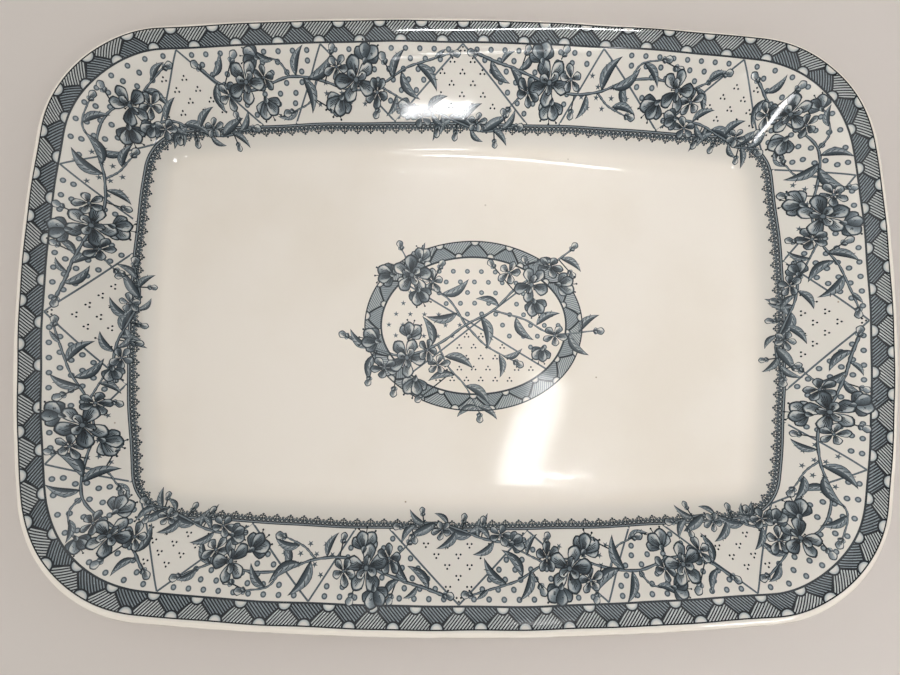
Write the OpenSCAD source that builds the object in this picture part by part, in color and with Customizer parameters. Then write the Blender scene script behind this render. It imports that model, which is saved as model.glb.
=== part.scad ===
// Rectangular earthenware platter with underglaze prints.
// The length runs along X, the width along Y, and the foot stands on z = 0.
// Sections are drawn as [inset, height]: the inset is measured inwards from the outer edge.

/* [Outline] */
// Length over the rim
platter_l = 394; // [330:1:480]
// Width over the rim
platter_w = 278; // [240:1:340]
// Radius of the outer corners
corner_r = 58; // [45:0.5:75]
// Radius of the floor's corners
floor_corner_r = 9; // [5:0.5:25]
// Radius of the two long sides, which bow slightly outwards
long_side_r = 1590; // [1000:10:4000]
// Radius of the two short sides, which bow slightly outwards
short_side_r = 645; // [450:5:2000]

/* [Section] */
// Thickness of the fired clay
clay_t = 4.6; // [3.5:0.1:5.5]
// Radius of the brow, the rounded band next to the edge
brow_r = 36; // [26:1:46]
// Slope of the rim, in degrees
rim_slope = 28; // [20:1:32]
// Width of the rim, from the edge to the lip of the well
rim_w = 42.5; // [38:0.5:48]
// Radius of the lip between the rim and the well
lip_r = 7; // [6.2:0.1:9]
// Slope of the well's wall, in degrees
wall_slope = 65; // [55:1:72]
// Length of the straight part of the wall
wall_l = 2.4; // [1.5:0.1:5]
// Radius of the cavetto, where the wall runs into the floor
cavetto_r = 11.5; // [9:0.5:16]

/* [Foot] */
// Height of the foot ring under the floor
foot_h = 3; // [2:0.1:5]
// Width of the foot ring where it joins the floor
foot_w = 6.6; // [5.6:0.1:10]
// Width that each side of the foot ring loses on the way down
foot_taper = 0.9; // [0.4:0.1:1.4]
// Radius of the foot ring's two toes
foot_toe_r = 1; // [0.6:0.1:1.4]
// Radius of the foot ring's outer corners
foot_corner_r = 18; // [14:0.5:26]
// Step from the start of the flat floor to the foot ring
foot_step = 0.8; // [0.4:0.1:4]

/* [Prints] */
// Thickness of a printed film
film_t = 0.25; // [0.2:0.01:0.4]
// Width of the edge band on the brow
edge_band_w = 10.2; // [8:0.1:11]
// Angle of the cavetto down which sprays of the well edging hang, in degrees
edging_hang = 30; // [15:1:45]
// Length of the medallion's printed field
medallion_l = 136; // [100:1:150]
// Width of the medallion's printed field
medallion_w = 96; // [70:1:104]
// Radius of the medallion field's two ends
medallion_end_r = 35; // [25:0.5:45]
// Distance of the medallion from the middle of the floor, along the length
medallion_shift = 6; // [-10:0.5:10]

/* [Hidden] */

// Colours of the glazed clay and the ink
clay_colour = "#e6dfd2";
ink_colour = "#6b7a86";

// Facets along half a short side, a corner and half a long side of the outline
side_steps = [4, 12, 5];
// Facets round the oval's arcs
oval_steps = 240;

// The section's arcs, worked out from the floor upwards
floor_z = foot_h + clay_t;
lip_inset = rim_w - lip_r * sin(rim_slope);
wall_inset = lip_inset + lip_r * sin(wall_slope) + wall_l * cos(wall_slope);
cavetto_c = [wall_inset + cavetto_r * sin(wall_slope), floor_z + cavetto_r];
wall_foot_z = cavetto_c[1] - cavetto_r * cos(wall_slope);
lip_c = [lip_inset, wall_foot_z + wall_l * sin(wall_slope) - lip_r * cos(wall_slope)];
brow_inset = clay_t / 2 + brow_r * sin(rim_slope);
brow_foot_z = lip_c[1] + lip_r * cos(rim_slope) + (rim_w - brow_inset) * tan(rim_slope);
brow_c = [clay_t / 2, brow_foot_z - brow_r * cos(rim_slope)];
platter_h = brow_c[1] + brow_r;
edge_c = [clay_t / 2, platter_h - clay_t / 2];

// Inset at which the flat floor begins, and the inset of the foot ring
floor_inset = cavetto_c[0];
foot_inset = floor_inset + foot_step;

// Angle of the brow that the edge band covers
band_angle = asin(edge_band_w / brow_r);

// Direction of an angle that is measured from straight up towards the platter's middle
function lean(angle) = [sin(angle), cos(angle)];

// Points on an arc of a section
function arc(c, r, from, to, steps) =
  [for (i = [0 : steps]) c + r * lean(from + (to - from) * i / steps)];

// A list without its first and last items
function inner(list) = [for (i = [1 : len(list) - 2]) list[i]];

// A list from its end to its start
function reverse(list) = [for (i = [len(list) - 1 : -1 : 0]) list[i]];

// Parts of the upper surface, from the edge inwards, raised by the height t
function band_part(t) = arc(brow_c, brow_r + t, 0, band_angle, 3);
function rim_part(t) = concat(arc(brow_c, brow_r + t, band_angle, rim_slope, 2),
                              [lip_c + (lip_r + t) * lean(rim_slope)]);
function lip_part(t) = arc(lip_c, lip_r + t, rim_slope, wall_slope, 4);
function hang_part(t) = arc(cavetto_c, cavetto_r - t, 180 + wall_slope,
                            180 + wall_slope - edging_hang, 3);
function cavetto_part(t) = arc(cavetto_c, cavetto_r - t, 180 + wall_slope - edging_hang, 180, 3);

// Section of the dish, from the floor up to the edge and back along the underside
dish_section = concat(
  reverse(cavetto_part(0)),
  inner(reverse(hang_part(0))), [hang_part(0)[0]],
  reverse(lip_part(0)),
  inner(reverse(rim_part(0))),
  reverse(band_part(0)),
  inner(arc(edge_c, clay_t / 2, 0, -180, 6)),
  arc(brow_c, brow_r - clay_t, 0, rim_slope, 4),
  arc(lip_c, lip_r - clay_t, rim_slope, wall_slope, 3),
  arc(cavetto_c, cavetto_r + clay_t, 180 + wall_slope, 180, 4));

// Closed section of a film between its lower and its upper line
function film_section(lower, upper) = concat(lower, reverse(upper));

// Closed section of the foot ring: two tapered sides with rounded toes and a flat seat between them
foot_section =
  let (outer_toe = [foot_inset + foot_taper + foot_toe_r, foot_toe_r],
       inner_toe = [foot_inset + foot_w - foot_taper - foot_toe_r, foot_toe_r])
  concat([[foot_inset + foot_w, foot_h], [foot_inset, foot_h]],
         arc(outer_toe, foot_toe_r, -90, -180, 3),
         arc(inner_toe, foot_toe_r, 180, 90, 3));

// Corner radius at an inset, for the dish and for the foot ring
dish_corner = function(inset) corner_r + (floor_corner_r - corner_r) * inset / floor_inset;
foot_corner = function(inset) foot_corner_r + foot_inset - inset;

// Centre of the corner arc that touches a long side of radius rl and a short side of radius rs
function corner_centre(a, b, r, rl, rs) =
  let (p = [0, b - rl],
       q = [a - rs, 0],
       gap = norm(q - p),
       u = (q - p) / gap,
       along = ((rl - r) ^ 2 - (rs - r) ^ 2 + gap ^ 2) / (2 * gap),
       aside = sqrt((rl - r) ^ 2 - along ^ 2))
  p + along * u + aside * [u[1], -u[0]];

// Points of a plan arc, without its last point
function plan_arc(c, r, from, to, steps) =
  [for (i = [0 : steps - 1])
    let (angle = from + (to - from) * i / steps)
    c + r * [cos(angle), sin(angle)]];

// A quarter of the outline, from the middle of a short side to the middle of a long side
function quarter(a, b, r, rl, rs) =
  let (c = corner_centre(a, b, r, rl, rs),
       low = atan2(c[1], c[0] - (a - rs)),
       high = atan2(c[1] - (b - rl), c[0]))
  concat(plan_arc([a - rs, 0], rs, 0, low, side_steps[0]),
         plan_arc(c, r, low, high, side_steps[1]),
         plan_arc([0, b - rl], rl, high, 90, side_steps[2]),
         [[0, b]]);

// The whole outline at an inset, with the corner radius r
function outline(inset, r) =
  let (q = quarter(platter_l / 2 - inset, platter_w / 2 - inset, r,
                   long_side_r - inset, short_side_r - inset),
       n = len(q) - 1)
  concat([for (i = [0 : n - 1]) q[i]],
         [for (i = [n : -1 : 1]) [-q[i][0], q[i][1]]],
         [for (i = [0 : n - 1]) -q[i]],
         [for (i = [n : -1 : 1]) [q[i][0], -q[i][1]]]);

// Solid swept round the outline from a section, which ends in two flat caps or closes on itself.
// corner gives the corner radius at an inset
module swept(section, corner, closed) {
  rings = [for (p = section)
            [for (xy = outline(p[0], corner(p[0]))) [xy[0], xy[1], p[1]]]];
  n = len(rings[0]);
  last = len(section) - (closed ? 0 : 1);
  points = [for (ring = rings) each ring];
  sides = [for (k = [0 : last - 1], j = [0 : n - 1], half = [0, 1])
            let (next_k = (k + 1) % len(section),
                 next_j = (j + 1) % n,
                 p = k * n + j,
                 q = k * n + next_j,
                 s = next_k * n + next_j,
                 t = next_k * n + j)
            half == 0 ? [p, q, s] : [p, s, t]];
  top_cap = [for (j = [n - 1 : -1 : 0]) j];
  bottom_cap = [for (j = [0 : n - 1]) last * n + j];
  polyhedron(points, closed ? sides : concat(sides, [top_cap, bottom_cap]));
}

// Oval of four arcs, of length l and width w, with end arcs of radius e
module oval(l, w, e) {
  a = l / 2;
  b = w / 2;
  side_r = ((a - e) ^ 2 + b ^ 2 - e ^ 2) / (2 * (b - e));
  touch_x = (a - e) * side_r / (side_r - e);
  intersection() {
    translate([0, b - side_r]) circle(r = side_r, $fn = oval_steps);
    translate([0, side_r - b]) circle(r = side_r, $fn = oval_steps);
    square([2 * touch_x, w], center = true);
  }
  for (end = [-1, 1])
    translate([end * (a - e), 0]) circle(r = e, $fn = oval_steps);
}

// The pressed dish: floor, cavetto, wall, lip, rim, brow and rounded edge
module dish_body() {
  color(clay_colour) swept(dish_section, dish_corner, false);
}

// The roll of clay luted under the floor
module foot_ring() {
  color(clay_colour) swept(foot_section, foot_corner, true);
}

// The band of tiles on the brow
module edge_band_print() {
  color(ink_colour) swept(film_section(band_part(0), band_part(film_t)), dish_corner, true);
}

// The ground and sprays on the slope of the rim
module border_print() {
  color(ink_colour) swept(film_section(rim_part(0), rim_part(film_t)), dish_corner, true);
}

// The lace over the lip, with the sprays that hang from it into the well
module well_edging_print() {
  color(ink_colour) swept(film_section(concat(lip_part(0), hang_part(0)),
                                       concat(lip_part(film_t), hang_part(film_t))),
                          dish_corner, true);
}

// The oval print on the floor
module centre_medallion_print() {
  color(ink_colour)
    translate([medallion_shift, 0, floor_z]) linear_extrude(film_t)
      oval(medallion_l, medallion_w, medallion_end_r);
}

dish_body();
foot_ring();
edge_band_print();
border_print();
well_edging_print();
centre_medallion_print();
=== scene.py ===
import math
import random

import bmesh
import bpy
import numpy as np
from mathutils import Matrix, Vector


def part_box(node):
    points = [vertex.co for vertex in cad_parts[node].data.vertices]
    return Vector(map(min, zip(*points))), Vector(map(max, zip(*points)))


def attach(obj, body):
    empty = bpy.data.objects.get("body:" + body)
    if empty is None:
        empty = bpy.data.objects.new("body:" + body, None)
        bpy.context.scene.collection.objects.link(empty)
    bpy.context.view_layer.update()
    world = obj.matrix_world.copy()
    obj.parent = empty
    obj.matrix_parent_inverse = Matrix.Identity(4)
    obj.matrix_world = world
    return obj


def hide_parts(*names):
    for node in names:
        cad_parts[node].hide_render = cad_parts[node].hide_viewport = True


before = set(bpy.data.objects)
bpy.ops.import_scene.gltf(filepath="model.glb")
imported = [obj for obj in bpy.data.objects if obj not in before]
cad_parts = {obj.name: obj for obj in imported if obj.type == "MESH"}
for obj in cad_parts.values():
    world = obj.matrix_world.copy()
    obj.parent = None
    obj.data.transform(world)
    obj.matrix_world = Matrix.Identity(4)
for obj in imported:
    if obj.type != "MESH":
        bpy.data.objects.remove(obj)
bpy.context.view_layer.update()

# Sizes are in millimetres, as in the part's source. Sections are drawn as [inset, height].
MM = 0.001
dish_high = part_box("dish_body")[1]
HALF_L = dish_high.x / MM
HALF_W = dish_high.y / MM
FOOT_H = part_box("foot_ring")[1].z / MM
CORNER_R = 58
FLOOR_CORNER_R = 9
LONG_SIDE_R = 1590
SHORT_SIDE_R = 645
CLAY_T = 4.6
BROW_R = 36
RIM_SLOPE = 28
RIM_W = 42.5
LIP_R = 7
WALL_SLOPE = 65
WALL_L = 2.4
CAVETTO_R = 11.5
HOLLOW_R = 22
FOOT_W = 6.6
FOOT_TAPER = 0.9
FOOT_TOE_R = 1
FOOT_CORNER_R = 18
FOOT_STEP = 0.8

# Where the prints lie
BAND_INSET = 2.9
BAND_W = 9.5
# How far the band was laid off the middle, towards the far side
BAND_SHIFT = 1.0
GROUND_INSET = 12.9
LACE_INSET = 43.4
GROUND_W = LACE_INSET - GROUND_INSET
BAND_PITCH = 19
LACE_PITCH = 6.2
# The inset at which the lace keeps its length
LACE_COURSE = LACE_INSET + 1.5
MEDALLION_CENTRE = (7.2, -0.4)
MEDALLION_HALF = (52.5, 41.0)
MEDALLION_BAND_W = 7.9
MEDALLION_PITCH = 17.5

# Heights of the printed layers over the clay, from the grounds up to the blossoms
TINT_LIFT = 0.03
LINE_LIFT = 0.05
STEM_LIFT = 0.07
LEAF_LIFT = 0.085
BLOSSOM_LIFT = 0.1
# What is added for each step that a blossom lies over others, and for a sprig over the lace
OVER_LIFT = 0.012
SPRIG_LIFT = 0.06
# Shapes of one layer are spread over this height, by the golden section, so that none lies in another
LAYER_SPREAD = 0.02
GOLDEN_SHARE = 0.618034


# The section's arcs, worked out from the floor upwards
def lean(angle):
    """Direction of an angle in degrees, measured from straight up towards the platter's middle."""
    return np.array([math.sin(math.radians(angle)), math.cos(math.radians(angle))])


FLOOR_Z = FOOT_H + CLAY_T
rim_sin, rim_cos = lean(RIM_SLOPE)
wall_sin, wall_cos = lean(WALL_SLOPE)
lip_inset = RIM_W - LIP_R * rim_sin
wall_inset = lip_inset + LIP_R * wall_sin + WALL_L * wall_cos
CAVETTO_C = np.array([wall_inset + CAVETTO_R * wall_sin, FLOOR_Z + CAVETTO_R])
wall_foot_z = CAVETTO_C[1] - CAVETTO_R * wall_cos
wall_top_z = wall_foot_z + WALL_L * wall_sin
LIP_C = np.array([lip_inset, wall_top_z - LIP_R * wall_cos])
brow_inset = CLAY_T / 2 + BROW_R * rim_sin
rim_drop = (RIM_W - brow_inset) * math.tan(math.radians(RIM_SLOPE))
brow_foot_z = LIP_C[1] + LIP_R * rim_cos + rim_drop
BROW_C = np.array([CLAY_T / 2, brow_foot_z - BROW_R * rim_cos])
EDGE_C = np.array([CLAY_T / 2, BROW_C[1] + BROW_R - CLAY_T / 2])
FLOOR_INSET = CAVETTO_C[0]
FOOT_INSET = FLOOR_INSET + FOOT_STEP

# Inside the well, the lip runs into the floor in one wide hollow, whose arc touches both
lip_rise = LIP_C[1] - FLOOR_Z
HOLLOW_SLOPE = math.degrees(math.acos((HOLLOW_R - lip_rise) / (HOLLOW_R + LIP_R)))
HOLLOW_C = LIP_C + (LIP_R + HOLLOW_R) * lean(HOLLOW_SLOPE)
HOLLOW_INSET = HOLLOW_C[0]


def arc(centre, radius, start, end, steps):
    """Points on an arc of a section."""
    return [centre + radius * lean(start + (end - start) * i / steps) for i in range(steps + 1)]


def straight(start, end, steps):
    """Points between two points of a section, without the two."""
    return [start + (end - start) * i / steps for i in range(1, steps)]


def upper_section(fineness):
    """The glazed upper surface, from the outer edge to the flat floor."""
    edge = arc(EDGE_C, CLAY_T / 2, -90, 0, 8 * fineness)
    brow = arc(BROW_C, BROW_R, 0, RIM_SLOPE, 16 * fineness)
    lip = arc(LIP_C, LIP_R, RIM_SLOPE, HOLLOW_SLOPE, 10 * fineness)
    hollow = arc(HOLLOW_C, HOLLOW_R, 180 + HOLLOW_SLOPE, 180, 22 * fineness)
    rim = straight(brow[-1], lip[0], 6)
    floor = [[HOLLOW_INSET + 2, FLOOR_Z], [HOLLOW_INSET + 4, FLOOR_Z]]
    return np.array(edge + brow[1:] + rim + lip + hollow[1:] + floor)


def under_section():
    """The underside, from the outer edge to the flat part under the floor."""
    edge = arc(EDGE_C, CLAY_T / 2, -90, -180, 8)
    brow = arc(BROW_C, BROW_R - CLAY_T, 0, RIM_SLOPE, 12)
    lip = arc(LIP_C, LIP_R - CLAY_T, RIM_SLOPE, WALL_SLOPE, 8)
    cavetto = arc(CAVETTO_C, CAVETTO_R + CLAY_T, 180 + WALL_SLOPE, 180, 16)
    rim = straight(brow[-1], lip[0], 4)
    floor = [[FLOOR_INSET + 3, FOOT_H], [FLOOR_INSET + 7, FOOT_H]]
    return np.array(edge[1:] + brow[1:] + rim + lip + cavetto + floor)


def foot_section():
    """The foot ring: two tapered sides with rounded toes and a flat seat between them."""
    inner_inset = FOOT_INSET + FOOT_W
    outer_toe = np.array([FOOT_INSET + FOOT_TAPER + FOOT_TOE_R, FOOT_TOE_R])
    inner_toe = np.array([inner_inset - FOOT_TAPER - FOOT_TOE_R, FOOT_TOE_R])
    outer_side = [[FOOT_INSET, FOOT_H], [FOOT_INSET + FOOT_TAPER * 0.3, FOOT_H * 0.7]]
    inner_side = [[inner_inset - FOOT_TAPER * 0.3, FOOT_H * 0.7], [inner_inset, FOOT_H]]
    toes = arc(outer_toe, FOOT_TOE_R, -90, -180, 6) + arc(inner_toe, FOOT_TOE_R, 180, 90, 6)
    return np.array(outer_side + toes + inner_side)


# The outline: two long and two short sides that bow outwards, with a corner arc between them
LONG_CENTRE = HALF_W - LONG_SIDE_R
SHORT_CENTRE = HALF_L - SHORT_SIDE_R
CENTRE_GAP = math.hypot(LONG_CENTRE, SHORT_CENTRE)
# Stations are counted round it: each quarter has half a long side, a corner and half a short side
STATIONS = 12
# Steps round an oval, and rounds of halving in the search for an inset
OVAL_STEPS = 1440
HALVINGS = 26


def dish_corner(inset):
    """Corner radius of the dish at an inset."""
    return CORNER_R + (FLOOR_CORNER_R - CORNER_R) * np.minimum(inset / FLOOR_INSET, 1)


def foot_corner(inset):
    """Corner radius of the foot ring at an inset."""
    return FOOT_CORNER_R + FOOT_INSET - inset


def corner_arc(inset, corner):
    """Centre of the corner arc in the first quarter, and the angles from +Y where it starts and ends."""
    long_reach = LONG_SIDE_R - inset - corner
    short_reach = SHORT_SIDE_R - inset - corner
    along = (long_reach**2 - short_reach**2 + CENTRE_GAP**2) / (2 * CENTRE_GAP)
    aside = np.sqrt(long_reach**2 - along**2)
    x = (along * SHORT_CENTRE - aside * LONG_CENTRE) / CENTRE_GAP
    y = LONG_CENTRE - (along * LONG_CENTRE + aside * SHORT_CENTRE) / CENTRE_GAP
    return x, y, np.arctan2(x, y - LONG_CENTRE), np.arctan2(x - SHORT_CENTRE, y)


def outline(station, inset, corner):
    """Places on the outline at an inset, clockwise from the middle of the far long side."""
    turn = np.mod(station, STATIONS)
    far = (turn < 3) | (turn >= 9)
    right = turn < 6
    half_turn = np.mod(turn, 6)
    part = np.where(half_turn < 3, half_turn, 6 - half_turn)
    x, y, first, last = corner_arc(inset, corner)
    sides = [part < 1, part > 2]
    angle = np.select(sides, [first * part, last + (math.pi / 2 - last) * (part - 2)],
                      first + (last - first) * (part - 1))
    radius = np.select(sides, [LONG_SIDE_R - inset, SHORT_SIDE_R - inset], corner)
    middle_x = np.select(sides, [0, SHORT_CENTRE], x)
    middle_y = np.select(sides, [LONG_CENTRE, 0], y)
    across = middle_x + radius * np.sin(angle)
    ahead = middle_y + radius * np.cos(angle)
    return np.where(right, across, -across), np.where(far, ahead, -ahead)


def rim_course(inset):
    """Length of the outline at an inset, and a function that gives places along it at any inset."""
    corner = dish_corner(inset)
    first, last = corner_arc(inset, corner)[2:]
    half_long = (LONG_SIDE_R - inset) * first
    bend = corner * (last - first)
    half_short = (SHORT_SIDE_R - inset) * (math.pi / 2 - last)
    quarter = [half_long, bend, half_short]
    marks = np.cumsum([0] + (quarter + quarter[::-1]) * 2)

    def place(run, at_inset):
        station = np.interp(np.mod(run, marks[-1]), marks, np.arange(STATIONS + 1))
        return outline(station, at_inset, dish_corner(at_inset))

    return marks[-1], place


def oval_course(half_l, half_w):
    """Length of an oval, and a function that gives places along it, clockwise, at an inset."""
    turns = np.linspace(0, 2 * math.pi, OVAL_STEPS + 1)
    steps = np.hypot(np.diff(half_l * np.sin(turns)), np.diff(half_w * np.cos(turns)))
    marks = np.cumsum([0, *steps])

    def place(run, at_inset):
        turn = np.interp(np.mod(run, marks[-1]), marks, turns)
        out_x, out_y = half_w * np.sin(turn), half_l * np.cos(turn)
        reach = np.hypot(out_x, out_y)
        return (half_l * np.sin(turn) - at_inset * out_x / reach,
                half_w * np.cos(turn) - at_inset * out_y / reach)

    return marks[-1], place


# The surface that the prints lie on
fine_section = upper_section(25)
fine_runs = np.cumsum([0, *np.hypot(*np.diff(fine_section, axis=0).T)])


def inset_at(x, y):
    """Inset of places in plan, closed in on by halving."""
    x, y = np.abs(x), np.abs(y)
    low, high = np.zeros_like(x), np.full_like(x, fine_section[-1, 0])
    for _ in range(HALVINGS):
        middle = (low + high) / 2
        corner = dish_corner(middle)
        corner_x, corner_y, first, last = corner_arc(middle, corner)
        angle = np.arctan2(x - corner_x, y - corner_y)
        depth = np.select([angle < first, angle > last],
                          [LONG_SIDE_R - middle - np.hypot(x, y - LONG_CENTRE),
                           SHORT_SIDE_R - middle - np.hypot(x - SHORT_CENTRE, y)],
                          corner - np.hypot(x - corner_x, y - corner_y))
        low, high = np.where(depth > 0, middle, low), np.where(depth > 0, high, middle)
    return (low + high) / 2


def height_at(x, y):
    """Height of the glazed surface at places in plan."""
    return np.interp(inset_at(x, y), fine_section[:, 0], fine_section[:, 1])


def inset_after(inset, run):
    """Inset that lies a run down the surface from another inset."""
    start = np.interp(inset, fine_section[:, 0], fine_runs)
    return np.interp(start + run, fine_runs, fine_section[:, 0])


# Tools for meshes
def mesh_of(bm, name="motif"):
    """Turns a bmesh into a mesh and frees it."""
    mesh = bpy.data.meshes.new(name)
    bm.to_mesh(mesh)
    bm.free()
    return mesh


def spots_of(mesh):
    """The x, y and z of a mesh's vertices."""
    spots = np.empty(len(mesh.vertices) * 3)
    mesh.vertices.foreach_get("co", spots)
    return spots.reshape(-1, 3).T


def move_spots(mesh, x, y, z):
    """Moves a mesh's vertices."""
    mesh.vertices.foreach_set("co", np.column_stack([x, y, z]).ravel())
    mesh.update()


def note_inset(mesh, inset):
    """Gives each vertex its inset, which the materials read."""
    layer = mesh.attributes.new("inset", "FLOAT", "POINT")
    layer.data.foreach_set("value", np.asarray(inset, dtype=np.float32))


def placed(name, data):
    """Makes an object and puts it in the scene."""
    made = bpy.data.objects.new(name, data)
    bpy.context.scene.collection.objects.link(made)
    return made


def piece(mesh, name, node, material):
    """Makes an object that stands for a CAD node."""
    made = placed(name, mesh)
    mesh.materials.append(material)
    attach(made, "root")
    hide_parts(node)


# The clay, with columns along half a long side, a corner and half a short side
SIDE_STEPS = (10, 32, 8)


def wrapped(name, section, corner):
    """A grid wrapped round the outline, with the section in its rows, whose open ends are filled."""
    half = SIDE_STEPS + SIDE_STEPS[::-1]
    columns = np.cumsum([0, *half, *half])
    rows = len(section) - 1
    bm = bmesh.new()
    bmesh.ops.create_grid(bm, x_segments=int(columns[-1]), y_segments=rows, size=1)
    mesh = mesh_of(bm, name)
    x, y, _ = spots_of(mesh)
    station = np.interp((x + 1) / 2 * columns[-1], columns, np.arange(STATIONS + 1))
    row = np.rint((y + 1) / 2 * rows).astype(int)
    inset = section[row, 0]
    note_inset(mesh, inset)
    move_spots(mesh, *outline(station, inset, corner(inset)), section[row, 1])
    bm = bmesh.new()
    bm.from_mesh(mesh)
    bpy.data.meshes.remove(mesh)
    bmesh.ops.remove_doubles(bm, verts=bm.verts, dist=0.001)
    bmesh.ops.holes_fill(bm, edges=bm.edges, sides=0)
    bmesh.ops.recalc_face_normals(bm, faces=bm.faces)
    bmesh.ops.scale(bm, vec=(MM, MM, MM), verts=bm.verts)
    for face in bm.faces:
        face.smooth = True
    return mesh_of(bm, name)


def dish_mesh():
    """The pressed dish: floor, hollow, lip, rim, brow and rounded edge, and its underside."""
    section = np.vstack([upper_section(1)[::-1], under_section()])
    return wrapped("glazed_dish", section, dish_corner)


def foot_mesh():
    """The roll of clay under the floor, closed on top where it is luted on."""
    section = foot_section()
    return wrapped("foot", np.vstack([section, section[:1]]), foot_corner)


# Motifs are flat meshes, drawn at their real size or at a length of one, with a tone of ink at each vertex.
# Their own layers lie a little apart.
def polar(reach, turn, x=0, y=0):
    """A place at a distance from another, in a direction."""
    return x + reach * math.cos(turn), y + reach * math.sin(turn)


def new_tissue():
    """An empty sheet that printed shapes are laid on."""
    bm = bmesh.new()
    bm.verts.layers.float.new("ink")
    return bm


def drawn(draw):
    """Turns a function that draws on a sheet into one that gives a mesh of what it draws."""
    def make(*values, **named_values):
        tissue = new_tissue()
        draw(tissue, *values, **named_values)
        return mesh_of(tissue)

    return make


def ink_of(tissue):
    """The layer that holds the tone of ink."""
    return tissue.verts.layers.float["ink"]


def inked(tissue, verts, tone):
    """Gives these vertices one tone."""
    layer = ink_of(tissue)
    for vert in verts:
        vert[layer] = tone


def placing(middle, turn, length, width):
    """The matrix that puts a shape at a middle, turned and scaled."""
    place = Matrix.Translation(middle) @ Matrix.Rotation(turn, 4, "Z")
    return place @ Matrix.Diagonal((length, width, 1, 1))


def strip(tissue, start, end, width, tone, lift, steps):
    """A straight line of ink."""
    turn = math.atan2(end[1] - start[1], end[0] - start[0])
    middle = ((start[0] + end[0]) / 2, (start[1] + end[1]) / 2, lift)
    place = placing(middle, turn, math.dist(start, end), width)
    made = bmesh.ops.create_grid(tissue, x_segments=steps, y_segments=1, size=0.5, matrix=place)
    inked(tissue, made["verts"], tone)


def disc(tissue, x, y, radius, tones, lift, segments):
    """A round patch with rims: tones holds pairs of radius share and tone, from the outside inwards."""
    made = bmesh.ops.create_circle(tissue, cap_ends=True, segments=segments, radius=radius,
                                   matrix=Matrix.Translation((x, y, lift)))
    verts = made["verts"]
    inked(tissue, verts, tones[0][1])
    face = verts[0].link_faces[0]
    for (outer, _), (inner, tone) in zip(tones, tones[1:]):
        bmesh.ops.inset_individual(tissue, faces=[face], thickness=radius * (outer - inner))
        inked(tissue, face.verts, tone)


def add(tissue, motif):
    """Lays a mesh on a sheet and removes it."""
    tissue.from_mesh(motif)
    bpy.data.meshes.remove(motif)


def stamp(tissue, motif, x, y, turn=0.0, size=1.0, lift=0.0):
    """Prints a motif on a sheet at a place, turned and scaled."""
    place = placing((x, y, lift), turn, size, size)
    motif.transform(place)
    tissue.from_mesh(motif)
    motif.transform(place.inverted())


def trim(tissue, place, outward):
    """Cuts off what lies outward of a line through a place."""
    geometry = tissue.verts[:] + tissue.edges[:] + tissue.faces[:]
    bmesh.ops.bisect_plane(tissue, geom=geometry, plane_co=(*place, 0), plane_no=(*outward, 0),
                           dist=1e-5, clear_outer=True)


@drawn
def hatched_tile(tissue, corners, slant, gap, line_w, tint, tone):
    """Parallel lines over a tint, trimmed to corners that run clockwise seen with y downwards."""
    low, high = np.min(corners, axis=0), np.max(corners, axis=0)
    middle = (low + high) / 2
    span = math.dist(low, high)
    place = placing((*middle, TINT_LIFT), 0, span, span)
    made = bmesh.ops.create_grid(tissue, x_segments=10, y_segments=12, size=0.5, matrix=place)
    inked(tissue, made["verts"], tint)
    along = np.array(polar(1, slant))
    aside = np.array([-along[1], along[0]])
    half = along * span / 2
    lines = int(span / gap / 2)
    for i in range(-lines, lines + 1):
        spot = middle + aside * gap * i
        strip(tissue, spot - half, spot + half, line_w, tone, LINE_LIFT, 10)
    for here, after in zip(corners, corners[1:] + corners[:1]):
        trim(tissue, here, (after[1] - here[1], here[0] - after[0]))


@drawn
def half_bead(tissue, x, y, radius, outward):
    """A half-round bead on a border line, which bulges towards outward."""
    rims = [(1, 1.0), (0.82, 1.0), (0.74, 0.12), (0.42, 0.03)]
    disc(tissue, x, y, radius, rims, LINE_LIFT + 0.03, 18)
    trim(tissue, (x, y), (0, -outward))


@drawn
def band_unit(tissue, pitch, width, bead_r, gap, tints, tone):
    """One repeat of a hatched band: x runs along it and y across it, from the outer line."""
    outer_tile = [(0, 0), (pitch, 0), (pitch / 2, width)]
    inner_tile = [(-pitch / 2, width), (0, 0), (pitch / 2, width)]
    line_w = gap * 0.48
    add(tissue, hatched_tile(outer_tile, -math.radians(52), gap, line_w, tints[0], tone))
    add(tissue, hatched_tile(inner_tile, math.radians(46), gap, line_w * 1.15, tints[1], tone))
    strip(tissue, (0, 0), (pitch / 2, width), 0.95, 1.0, LINE_LIFT + 0.015, 6)
    strip(tissue, (pitch / 2, width), (pitch, 0), 0.95, 1.0, LINE_LIFT + 0.017, 6)
    strip(tissue, (0, 0), (pitch, 0), 0.6, 0.98, LINE_LIFT + 0.045, 10)
    strip(tissue, (0, width), (pitch, width), 0.9, 0.85, LINE_LIFT + 0.045, 10)
    add(tissue, half_bead(0, 0.2, bead_r, 1))
    add(tissue, half_bead(pitch / 2, width - 0.3, bead_r, -1))


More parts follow.
